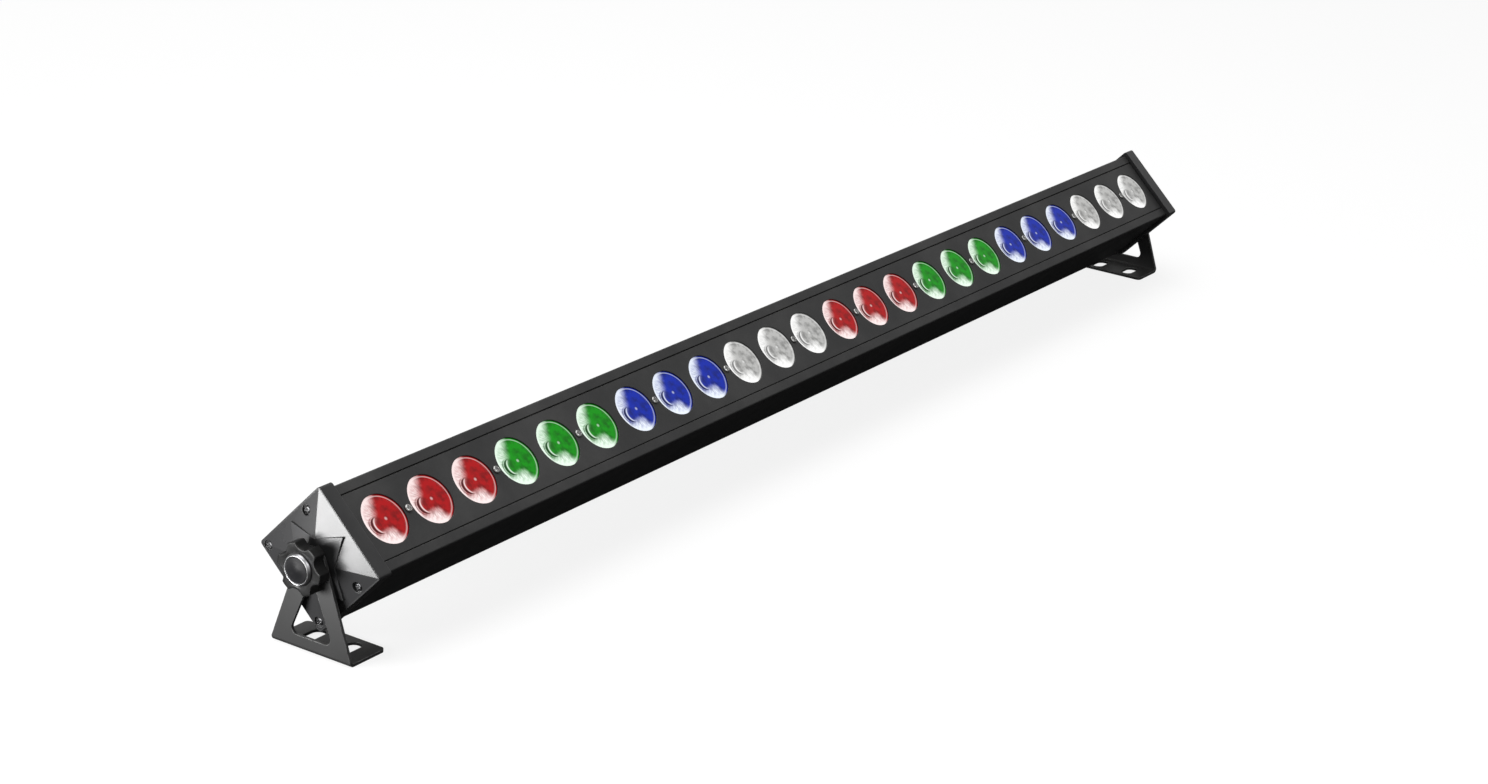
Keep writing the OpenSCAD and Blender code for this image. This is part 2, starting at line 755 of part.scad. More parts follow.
module data_in_socket() {
    mouth_z = rear_face_z - flange_t;
    color([0.5, 0.5, 0.5]) in_batten() translate([rear_x + data_in_x, 0, 0]) {
        socket_body();
        at_contacts() translate([0, 0, mouth_z + 9])
            cylinder(h = socket_depth - 12 + 0.1, r = contact_r);
    }
}

module data_out_socket() {
    mouth_z = rear_face_z - flange_t;
    color([0.5, 0.5, 0.5]) in_batten() translate([rear_x + data_out_x, 0, 0]) {
        socket_body();
        difference() {
            translate([0, 0, mouth_z]) cylinder(h = socket_depth - 3 + 0.1, r = socket_mouth_r - 1.2);
            at_contacts() translate([0, 0, mouth_z - 1]) cylinder(h = 12, r = contact_r + 0.1);
        }
    }
}

module display_window() {
    color([0.05, 0.05, 0.07]) in_batten() translate([rear_x + window_x, 0, 0]) {
        pad(window_size, rear_face_z, back_z + tiny);
        pad(window_size + 2 * [window_lip, window_lip], back_z, back_z + window_t);
    }
}

module menu_key(k) {
    color([0.7, 0.7, 0.7]) in_batten() translate([rear_x, 0, 0]) at_key(k) {
        translate([0, 0, rear_face_z - key_rise])
            cylinder(h = key_rise + rear_t + moving_gap + tiny, r = key_d / 2);
        translate([0, 0, back_z + moving_gap]) cylinder(h = key_flange_t, r = key_flange_r);
        translate([0, 0, back_z + moving_gap + key_flange_t - tiny])
            cylinder(h = control_z - switch_h - key_travel - back_z - 2 * moving_gap - key_flange_t,
                     r = key_stem_r);
    }
}

housing();
front_panel();
for (i = [1 : lens_count]) lens(i);
lens_holders();
led_board();
led_emitters();
panel_screws();
end_cap(-1);  // end_cap_left
end_cap(1);  // end_cap_right
end_gaskets();
end_cap_screws();
bracket(-1);  // bracket_left
bracket(1);  // bracket_right
pivot_washers(-1);  // pivot_washers_left
pivot_washers(1);  // pivot_washers_right
knob(-1);  // knob_left
knob(1);  // knob_right
knob_stud(-1);  // knob_stud_left
knob_stud(1);  // knob_stud_right
knob_button(-1);  // knob_button_left
knob_button(1);  // knob_button_right
clamp_nut(-1);  // clamp_nut_left
clamp_nut(1);  // clamp_nut_right
power_supply();
control_board();
rear_panel();
rear_panel_screws();
power_inlet();
data_in_socket();
data_out_socket();
display_window();
menu_key(0);  // key_menu
menu_key(1);  // key_up
menu_key(2);  // key_down
menu_key(3);  // key_enter
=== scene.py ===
# %% [markdown]
# # A stage light batten, built around its CAD frame
# The batten is a one-metre aluminium box with 24 round lenses, a faceted cap and a
# clamped foot bracket at each end. The frame brings every piece in its true place.
# This script adds the camera, the light, the finishes, and finer surfaces where the
# eye rests: the lenses, the knobs and the screw heads.

import json
import math

import bpy
import numpy as np
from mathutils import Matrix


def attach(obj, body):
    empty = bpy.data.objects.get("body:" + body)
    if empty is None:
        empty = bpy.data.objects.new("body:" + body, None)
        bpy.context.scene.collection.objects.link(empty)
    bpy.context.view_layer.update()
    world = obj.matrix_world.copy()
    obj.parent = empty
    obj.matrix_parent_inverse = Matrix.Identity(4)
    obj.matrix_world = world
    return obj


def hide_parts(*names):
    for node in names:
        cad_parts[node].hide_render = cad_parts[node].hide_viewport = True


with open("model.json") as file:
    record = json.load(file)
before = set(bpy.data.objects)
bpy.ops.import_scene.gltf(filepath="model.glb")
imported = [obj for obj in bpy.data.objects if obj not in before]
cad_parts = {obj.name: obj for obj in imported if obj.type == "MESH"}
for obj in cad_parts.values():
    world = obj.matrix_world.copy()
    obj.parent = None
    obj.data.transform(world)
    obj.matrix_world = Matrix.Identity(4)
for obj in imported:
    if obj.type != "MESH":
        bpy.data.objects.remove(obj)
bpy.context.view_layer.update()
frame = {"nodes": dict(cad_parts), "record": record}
record = frame["record"]

# %% [markdown]
# The batten is tilted on its pivots, which makes its own shapes awkward to write. So
# they are worked out in a flat frame, in millimetres, where the lenses look straight
# up and the tilt axis is X. Two facts from the record lead back to the real place:
# the height of the tilt axis, and the direction in which a menu button is pressed,
# which is the flat frame's up direction.

# %% The flat frame
joints = {joint["name"]: joint for joint in record["behaviour"]["joints"]}
pivot_height = joints["bracket_left_tilt"]["pos_m"][2]
_, press_y, press_z = joints["key_menu_press"]["axis"]
tilt_sin, tilt_cos = -press_y, press_z


def to_row(points):
    """Turns flat-frame points in mm about the tilt axis, lifts them, and gives metres."""
    x, y, z = np.moveaxis(np.asarray(points, float) / 1000, -1, 0)
    return np.stack([x, y * tilt_cos - z * tilt_sin,
                     y * tilt_sin + z * tilt_cos + pivot_height], -1)


def to_flat(points):
    """The inverse of to_row: metres in the row frame to mm in the flat frame."""
    x, y, z = np.moveaxis(np.asarray(points, float), -1, 0)
    z = z - pivot_height
    return 1000 * np.stack([x, y * tilt_cos + z * tilt_sin, z * tilt_cos - y * tilt_sin], -1)


def flat_points(node):
    """A CAD node's vertices in the flat frame."""
    mesh = frame["nodes"][node].data
    points = np.empty(len(mesh.vertices) * 3)
    mesh.vertices.foreach_get("co", points)
    return to_flat(points.reshape(-1, 3))


def flat_box(node):
    """Lowest and highest corner of a CAD node, measured in the flat frame."""
    points = flat_points(node)
    return points.min(0), points.max(0)


print("tilt", round(math.degrees(math.atan2(tilt_sin, tilt_cos)), 2), "degrees")

# %% [markdown]
# ## Camera
# A long lens from the front left, a little above the batten and slightly rolled. The
# camera's axes come from three angles: azimuth, elevation and roll.

# %% Camera
CAMERA_OFFSET = np.array([-1.7154, -1.0495, 0.6896])  # from the tilt axis at mid-length
CAMERA_AZIMUTH, CAMERA_ELEVATION, CAMERA_ROLL = np.radians([57.489, 19.843, -3.664])
FOCAL_LENGTH = 73.37


def camera_axes(azimuth, elevation, roll):
    """Right, up and back directions of a camera that looks along azimuth (0 is +Y, 90 is +X)
    and down by elevation, then rolled about its own view direction."""
    ahead = np.array([math.sin(azimuth) * math.cos(elevation),
                      math.cos(azimuth) * math.cos(elevation), -math.sin(elevation)])
    right = np.array([math.cos(azimuth), -math.sin(azimuth), 0.0])
    down = np.cross(ahead, right)
    rolled_right = math.cos(roll) * right + math.sin(roll) * down
    rolled_down = math.cos(roll) * down - math.sin(roll) * right
    return rolled_right, -rolled_down, -ahead


camera = bpy.data.objects.new("camera", bpy.data.cameras.new("camera"))
bpy.context.scene.collection.objects.link(camera)
camera.data.lens = FOCAL_LENGTH
camera.data.clip_end = 30
placing = np.eye(4)
placing[:3, :3] = np.stack(camera_axes(CAMERA_AZIMUTH, CAMERA_ELEVATION, CAMERA_ROLL), 1)
placing[:3, 3] = CAMERA_OFFSET + [0, 0, pivot_height]
camera.matrix_world = placing.T.tolist()
bpy.context.scene.camera = camera
print("camera at", np.round(placing[:3, 3], 3))

# %% [markdown]
# ## Studio
# Black metal shows little of its own colour: what the eye reads are reflections. A
# white floor would shine into every lower face and turn it grey. So floor and world
# look white to the camera, and stay dim for the rays that light the batten. A Light
# Path node tells the two kinds of ray apart. A few soft panels then do the lighting,
# and each has one job.

# %% Floor and world
FLOOR_HALF = 6.0
FLOOR_DROP = 0.0002  # keeps the floor clear of the feet's undersides
PAPER_SEEN, PAPER_LIT = 0.22, 0.03  # grey of the floor, to the camera and to other rays
PAPER_GLOW = 0.8  # light that the camera sees the floor give off
AMBIENT = 0.42


def seen_or_lit(tree, seen, lit):
    """One number for rays that come straight from the camera and another for all others."""
    camera_ray = tree.nodes.new("ShaderNodeLightPath").outputs["Is Camera Ray"]
    mix = tree.nodes.new("ShaderNodeMapRange")
    tree.links.new(camera_ray, mix.inputs["Value"])
    mix.inputs["To Min"].default_value, mix.inputs["To Max"].default_value = lit, seen
    return mix.outputs["Result"]


paper = bpy.data.materials.new("studio_paper")
paper.use_nodes = True
paper_shader = paper.node_tree.nodes["Principled BSDF"]
paper_shader.inputs["Roughness"].default_value = 1.0
paper_shader.inputs["Specular IOR Level"].default_value = 0.0
paper_grey = paper.node_tree.nodes.new("ShaderNodeCombineColor")
paper_share = seen_or_lit(paper.node_tree, PAPER_SEEN, PAPER_LIT)
for channel in ("Red", "Green", "Blue"):
    paper.node_tree.links.new(paper_share, paper_grey.inputs[channel])
paper.node_tree.links.new(paper_grey.outputs[0], paper_shader.inputs["Base Color"])
paper_shader.inputs["Emission Color"].default_value = (1, 1, 1, 1)
paper.node_tree.links.new(seen_or_lit(paper.node_tree, PAPER_GLOW, 0.0),
                          paper_shader.inputs["Emission Strength"])

floor_mesh = bpy.data.meshes.new("studio_floor")
corners = FLOOR_HALF * np.array([[-1, -1, 0], [1, -1, 0], [1, 1, 0], [-1, 1, 0]])
floor_mesh.from_pydata((corners - [0, 0, FLOOR_DROP]).tolist(), [], [(0, 1, 2, 3)])
floor_mesh.materials.append(paper)
floor = bpy.data.objects.new("studio_floor", floor_mesh)
bpy.context.scene.collection.objects.link(floor)

world = bpy.data.worlds.new("studio")
bpy.context.scene.world = world
world.use_nodes = True
background = world.node_tree.nodes["Background"]
background.inputs["Color"].default_value = (1, 1, 1, 1)
world.node_tree.links.new(seen_or_lit(world.node_tree, 1.0, AMBIENT),
                          background.inputs["Strength"])
bpy.context.scene.view_settings.view_transform = "Standard"
print("floor half width", FLOOR_HALF, "m, ambient", AMBIENT)

# %% Soft panels
def soft_panel(name, centre, target, size, power):
    """A rectangular area light at centre, turned so that it shines at target, and unseen
    by the camera."""
    light = bpy.data.lights.new(name, "AREA")
    light.shape, light.size, light.size_y = "RECTANGLE", *size
    light.energy = power
    panel = bpy.data.objects.new(name, light)
    bpy.context.scene.collection.objects.link(panel)
    back = np.subtract(centre, target) / np.linalg.norm(np.subtract(centre, target))
    side = np.cross([0, 0, 1], back)
    side = side / np.linalg.norm(side)
    pose = np.eye(4)
    pose[:3, :3] = np.stack([side, np.cross(back, side), back], 1)
    pose[:3, 3] = centre
    panel.matrix_world = pose.T.tolist()
    panel.visible_camera = False
    return panel


# the wide panels light the top and the lens side, and the small one shines on the left cap
near_cap = (-0.51, 0.0, pivot_height)
middle = (0.0, 0.0, pivot_height)
soft_panel("top_panel", (-0.2, 0.5, 2.0), middle, (2.4, 1.4), 26)
soft_panel("lens_side_panel", (-0.4, -2.2, 1.9), middle, (2.0, 1.2), 22)
soft_panel("cap_panel", (-0.73, 0.086, 0.056), near_cap, (0.16, 0.10), 1.3)
print("lights:", [light.name for light in bpy.data.lights])

# %% [markdown]
# ## Surfaces from numpy
# Every finer piece below is a surface of two parameters on a grid. One helper turns
# the grid into faces, another closes a turned profile at its poles, and a third puts
# the result into a mesh that rides on its body.

# %% Mesh helpers
def grid_faces(rows, columns):
    """Quads between rows of points whose columns close on themselves, as one array."""
    row, column = np.meshgrid(np.arange(rows - 1), np.arange(columns), indexing="ij")
    after = (column + 1) % columns
    quads = [row * columns + column, row * columns + after,
             (row + 1) * columns + after, (row + 1) * columns + column]
    return np.stack(quads, -1).reshape(-1, 4)


def close_ends(points, rows, columns):
    """Caps a tube of rows x columns points with a fan at each end, about the end rows' means."""
    low, high = points[:columns].mean(0), points[-columns:].mean(0)
    ring, after = np.arange(columns), (np.arange(columns) + 1) % columns
    last = (rows - 1) * columns
    base = len(points)
    fans = [np.stack([after, ring, np.full(columns, base)], -1),
            np.stack([last + ring, last + after, np.full(columns, base + 1)], -1)]
    return np.vstack([points, low, high]), np.vstack(fans)


def add_piece(name, points, quads, triangles, body, slot, material):
    """A mesh object from points in the row frame, riding on a body, with one material."""
    mesh = bpy.data.meshes.new(name)
    faces = [*quads.tolist(), *triangles.tolist()]
    mesh.from_pydata(points.tolist(), [], faces)
    mesh.materials.append(material)
    mesh.shade_smooth()
    mesh.validate()
    piece = bpy.data.objects.new(name, mesh)
    bpy.context.scene.collection.objects.link(piece)
    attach(piece, body)
    return piece


def turned(profile, segments, radius_of=None):
    """A closed surface of revolution about the flat frame's Z axis.
    profile holds (radius, height) rows from the bottom pole to the top pole, and radius_of,
    when given, changes each row's radius with the angle."""
    angle = np.linspace(0, 2 * np.pi, segments, endpoint=False)
    radius = np.repeat(profile[:, :1], segments, 1)
    if radius_of is not None:
        radius = radius_of(radius, angle[None, :])
    height = np.repeat(profile[:, 1:2], segments, 1)
    points = np.stack([radius * np.cos(angle), radius * np.sin(angle), height], -1)
    points = points.reshape(-1, 3)
    quads = grid_faces(len(profile), segments)
    points, fans = close_ends(points, len(profile), segments)
    return points, quads, fans


def copies(surface, places):
    """The same surface at several places: a 3 x 4 placing for each, as one set of arrays."""
    points, quads, fans = surface
    placed = np.einsum("kij,nj->kni", places[:, :, :3], points) + places[:, None, :, 3]
    shift = (np.arange(len(places)) * len(points))[:, None, None]
    return (placed.reshape(-1, 3), (quads[None] + shift).reshape(-1, 4),
            (fans[None] + shift).reshape(-1, 3))


def fillet(centre, radius, start, end, steps=5):
    """Points on an arc in the (radius, height) plane, angles in degrees."""
    angle = np.radians(np.linspace(start, end, steps))
    return np.stack([centre[0] + radius * np.cos(angle), centre[1] + radius * np.sin(angle)], -1)


def stack_rows(*rows):
    """Profile rows and arcs joined into one array."""
    return np.vstack([np.atleast_2d(row) for row in rows])


print("mesh helpers ready")

# %% [markdown]
# ## Finishes
# Real coatings are never one flat value. Powder coat has a fine orange-peel grain,
# its edges are rubbed a little paler, and a trace of dust lies on what faces up. On the
# brackets and knobs the paler edge colour is a painted highlight.
# These effects are node groups, so each material can place them with its own values.

# %% Node helpers
def new_group(name, inputs, outputs):
    """An empty shader group with float or colour sockets, given as {name: default}."""
    group = bpy.data.node_groups.new(name, "ShaderNodeTree")
    for side, sockets in (("INPUT", inputs), ("OUTPUT", outputs)):
        for label, default in sockets.items():
            kind = {float: "NodeSocketFloat", tuple: "NodeSocketColor"}.get(type(default))
            socket = group.interface.new_socket(label, in_out=side,
                                                socket_type=kind or "NodeSocketVector")
            if kind:
                socket.default_value = default
    group.nodes.new("NodeGroupInput").name = "in"
    group.nodes.new("NodeGroupOutput").name = "out"
    return group


def add_node(tree, kind, settings=None, **values):
    """A node of a kind, with its properties set, and its inputs set or linked by name."""
    node = tree.nodes.new(kind)
    for key, value in (settings or {}).items():
        setattr(node, key, value)
    for label, value in values.items():
        key = int(label[1:]) if label[0] == "_" else label.replace("_", " ")
        if isinstance(value, bpy.types.NodeSocket):
            tree.links.new(value, node.inputs[key])
        else:
            node.inputs[key].default_value = value
    return node


def maths(tree, operation, *values):
    """The result socket of a Math node over numbers or sockets."""
    slots = {f"_{k}": value for k, value in enumerate(values)}
    return add_node(tree, "ShaderNodeMath", {"operation": operation}, **slots).outputs[0]


def ramp(tree, value, low, high):
    """0 below low, 1 above high, and smooth between."""
    node = add_node(tree, "ShaderNodeMapRange", {"interpolation_type": "SMOOTHSTEP"},
                    Value=value, From_Min=low, From_Max=high)
    return node.outputs["Result"]


def blend_colour(tree, share, low, high):
    """low where share is 0 and high where it is 1."""
    node = tree.nodes.new("ShaderNodeMix")
    node.data_type = "RGBA"
    for socket, value in ((node.inputs[0], share), (node.inputs[6], low), (node.inputs[7], high)):
        if isinstance(value, bpy.types.NodeSocket):
            tree.links.new(value, socket)
        else:
            socket.default_value = value
    return node.outputs[2]


print("node helpers ready")

# %% Shared effects: grain, edge wear with painted edge highlights, and dust
def make_grain():
    """Fine orange-peel grain: a height, and a soft patchiness for colour and roughness."""
    group = new_group("coat_grain", {"Size": 900.0}, {"Height": 0.0, "Patches": 0.0})
    into, out = group.nodes["in"].outputs, group.nodes["out"].inputs
    place = add_node(group, "ShaderNodeTexCoord").outputs["Object"]
    peel = add_node(group, "ShaderNodeTexNoise", Vector=place, Scale=into["Size"], Detail=3.0)
    large = maths(group, "MULTIPLY", into["Size"], 0.03)
    patch = add_node(group, "ShaderNodeTexNoise", Vector=place, Scale=large, Detail=5.0,
                     Roughness=0.6)
    group.links.new(peel.outputs[0], out["Height"])
    group.links.new(ramp(group, patch.outputs[0], 0.35, 0.7), out["Patches"])
    return group


def make_edge_wear_and_highlight():
    """How near a surface point is to an outer edge: the rounded normal leaves the true one
    there, and noise breaks the line up. Its mask lays a paler edge colour, as wear, and as a
    painted highlight where that colour is light. It also gives the rounded normal."""
    group = new_group("edge_wear_and_highlight", {"Width": 0.0006, "Amount": 0.6},
                      {"Mask": 0.0, "Round Normal": None})
    into, out = group.nodes["in"].outputs, group.nodes["out"].inputs
    bevel = add_node(group, "ShaderNodeBevel", {"samples": 4}, Radius=into["Width"])
    true = add_node(group, "ShaderNodeNewGeometry").outputs["True Normal"]
    dot = add_node(group, "ShaderNodeVectorMath", {"operation": "DOT_PRODUCT"},
                   _0=bevel.outputs[0], _1=true).outputs["Value"]
    place = add_node(group, "ShaderNodeTexCoord").outputs["Object"]
    edge_breakup = add_node(group, "ShaderNodeTexNoise", Vector=place, Scale=350.0, Detail=4.0)
    edge = ramp(group, maths(group, "SUBTRACT", 1.0, dot), 0.02, 0.2)
    broken = maths(group, "MULTIPLY", edge, ramp(group, edge_breakup.outputs[0], 0.3, 0.65))
    group.links.new(maths(group, "MULTIPLY", broken, into["Amount"]), out["Mask"])
    group.links.new(bevel.outputs[0], out["Round Normal"])
    return group


def make_dust():
    """Thin dust on what faces up, in soft clouds."""
    group = new_group("dust", {"Amount": 0.1}, {"Mask": 0.0})
    into, out = group.nodes["in"].outputs, group.nodes["out"].inputs
    coordinates = add_node(group, "ShaderNodeTexCoord").outputs
    up = add_node(group, "ShaderNodeSeparateXYZ", Vector=coordinates["Normal"]).outputs["Z"]
    cloud = add_node(group, "ShaderNodeTexNoise", Vector=coordinates["Object"], Scale=18.0,
                     Detail=6.0, Roughness=0.65)
    facing = ramp(group, up, 0.2, 0.95)
    share = maths(group, "MULTIPLY", facing, ramp(group, cloud.outputs[0], 0.35, 0.75))
    group.links.new(maths(group, "MULTIPLY", share, into["Amount"]), out["Mask"])
    return group


GRAIN, EDGE_WEAR_AND_HIGHLIGHT, DUST = make_grain(), make_edge_wear_and_highlight(), make_dust()


def place_group(tree, group, **values):
    """A group node with its inputs set."""
    node = tree.nodes.new("ShaderNodeGroup")
    node.node_tree = group
    for label, value in values.items():
        node.inputs[label].default_value = value
    return node.outputs


print("groups:", [group.name for group in bpy.data.node_groups])

# %% Coated and moulded materials
DUST_COLOUR = (0.42, 0.41, 0.39, 1)
PATCH_SHADE = 0.8  # how far the darker patches fall below the colour
GRAIN_DEPTH = 0.0002


def coated(name, colour, edge_wear_and_highlight_colour, roughness, grain=900.0, bump=0.05, edge=0.6, edge_width=0.0006,
           dust=0.06, metallic=0.0, coat=0.0, shine=0.5):
    """A coated, moulded or plated surface: base colour with patches, paler edges (worn, and a
    painted highlight on brackets and knobs), dust, grain in the normal, and roughness that
    follows the patches and the dust."""
    material = bpy.data.materials.new(name)
    material.use_nodes = True
    tree = material.node_tree
    shader = tree.nodes["Principled BSDF"]
    peel = place_group(tree, GRAIN, Size=grain)
    wear_and_highlight = place_group(tree, EDGE_WEAR_AND_HIGHLIGHT, Width=edge_width, Amount=edge)
    film = place_group(tree, DUST, Amount=dust)
    darker = (*[PATCH_SHADE * level for level in colour], 1)
    base = blend_colour(tree, peel["Patches"], darker, (*colour, 1))
    base = blend_colour(tree, wear_and_highlight["Mask"], base, (*edge_wear_and_highlight_colour, 1))
    base = blend_colour(tree, film["Mask"], base, DUST_COLOUR)
    tree.links.new(base, shader.inputs["Base Color"])
    rough = add_node(tree, "ShaderNodeMapRange", Value=peel["Patches"],
                     To_Min=roughness + 0.05, To_Max=roughness - 0.03)
    rough = maths(tree, "ADD", rough.outputs["Result"], film["Mask"])
    tree.links.new(rough, shader.inputs["Roughness"])
    bump_node = add_node(tree, "ShaderNodeBump", Strength=bump, Distance=GRAIN_DEPTH,
                         Height=peel["Height"], Normal=wear_and_highlight["Round Normal"])
    tree.links.new(bump_node.outputs[0], shader.inputs["Normal"])
    shader.inputs["Metallic"].default_value = metallic
    shader.inputs["Specular IOR Level"].default_value = shine
    shader.inputs["Coat Weight"].default_value = coat
    shader.inputs["Coat Roughness"].default_value = 0.12
    return material


MATERIALS = {
    "housing_coat": coated("housing_coat", (0.022, 0.022, 0.0225), (0.09, 0.09, 0.09), 0.42),
    "panel_coat": coated("panel_coat", (0.023, 0.023, 0.0235), (0.08, 0.08, 0.08), 0.46),
    "cap_coat": coated("cap_coat", (0.030, 0.030, 0.031), (0.14, 0.14, 0.14), 0.27,
                       grain=600.0, bump=0.03),
    # the bracket's pale edge colour is a painted highlight along its edges
    "bracket_coat": coated("bracket_coat", (0.028, 0.028, 0.028), (0.26, 0.26, 0.26), 0.42,
                           edge=0.85, edge_width=0.0008, bump=0.08),
    # the knob's pale edge colour is a painted highlight on the lobes' edges
    "knob_plastic": coated("knob_plastic", (0.010, 0.010, 0.010), (0.3, 0.3, 0.3), 0.3,
                           grain=1500.0, bump=0.05, edge=0.7, edge_width=0.0005, dust=0.02,
                           shine=0.2),
    "holder_plastic": coated("holder_plastic", (0.01, 0.01, 0.01), (0.03, 0.03, 0.03), 0.5),
    "socket_plastic": coated("socket_plastic", (0.012, 0.012, 0.012), (0.04, 0.04, 0.04), 0.45,
                             grain=1400.0, edge=0.3),
    "washer_nylon": coated("washer_nylon", (0.015, 0.015, 0.015), (0.05, 0.05, 0.05), 0.5),
    "seal_rubber": coated("seal_rubber", (0.012, 0.012, 0.012), (0.02, 0.02, 0.02), 0.75,
                          edge=0.0),
    "key_plastic": coated("key_plastic", (0.3, 0.3, 0.3), (0.4, 0.4, 0.4), 0.45, grain=1600.0,
                          edge=0.2),
    "screw_black": coated("screw_black", (0.06, 0.06, 0.062), (0.35, 0.35, 0.35), 0.3,
                          grain=2500.0, bump=0.03, edge=0.7, edge_width=0.0002, dust=0.04,
                          metallic=0.8),
    "screw_steel": coated("screw_steel", (0.42, 0.42, 0.41), (0.7, 0.7, 0.7), 0.28, grain=2500.0,
                          bump=0.03, edge=0.3, edge_width=0.0002, dust=0.02, metallic=1.0),
    "socket_metal": coated("socket_metal", (0.34, 0.33, 0.32), (0.6, 0.6, 0.6), 0.3,
                           grain=2000.0, bump=0.03, edge=0.4, metallic=1.0),
    "button_rim": coated("button_rim", (0.5, 0.5, 0.51), (0.6, 0.6, 0.6), 0.3, grain=2500.0,
                         bump=0.0, edge=0.0, dust=0.0, metallic=1.0),
    "button_disc": coated("button_disc", (0.010, 0.010, 0.011), (0.1, 0.1, 0.1), 0.4,
                          grain=2200.0, bump=0.03, edge=0.2, dust=0.01, shine=0.1),
    "window_dark": coated("window_dark", (0.006, 0.006, 0.008), (0.03, 0.03, 0.03), 0.08,
                          grain=500.0, bump=0.0, edge=0.1, dust=0.03, coat=1.0),
    "board_green": coated("board_green", (0.01, 0.1, 0.04), (0.1, 0.25, 0.12), 0.35,
                          grain=700.0, bump=0.05),
    "board_white": coated("board_white", (0.7, 0.7, 0.66), (0.8, 0.8, 0.78), 0.4),
    "emitter": coated("emitter", (0.8, 0.62, 0.12), (0.9, 0.8, 0.4), 0.2, coat=0.5),
}
print(len(MATERIALS), "coated materials")

# %% [markdown]
# ## Lenses
# Each lens is a solid collimator of clear acrylic. Its flat face shows no simple
# colour: the slanted inner wall mirrors the room in two pale patches, the hollow over
# the emitter draws dark and bright crescents, and the rest glows in the emitter's
# colour. These reflections, crescents and highlights are painted into the face's colour
# and glow with it: they are drawn as masks over the face in the lens's own UV map, from
# straight lines and circles, and stay put when the view changes.

# %% Lens group of painted reflections, highlights and shade
def line_side(tree, across, up, normal, point):
    """Signed distance of a face point from a line, positive on the normal's side."""
    shift = -(normal[0] * point[0] + normal[1] * point[1])
    return maths(tree, "ADD", maths(tree, "MULTIPLY", across, normal[0]),
                 maths(tree, "MULTIPLY_ADD", up, normal[1], shift))


def from_point(tree, across, up, centre):
    """Distance of a face point from a centre."""
    a = maths(tree, "SUBTRACT", across, centre[0])
    b = maths(tree, "SUBTRACT", up, centre[1])
    return maths(tree, "SQRT", maths(tree, "ADD", maths(tree, "MULTIPLY", a, a),
                                     maths(tree, "MULTIPLY", b, b)))


def crescent(tree, across, up, outer, inner, radius, soft=0.05):
    """1 inside the circle about outer and outside the circle about inner, both of one radius."""
    inside = ramp(tree, from_point(tree, across, up, outer), radius + soft, radius - soft)
    outside = ramp(tree, from_point(tree, across, up, inner), radius - soft, radius + soft)
    return maths(tree, "MULTIPLY", inside, outside)


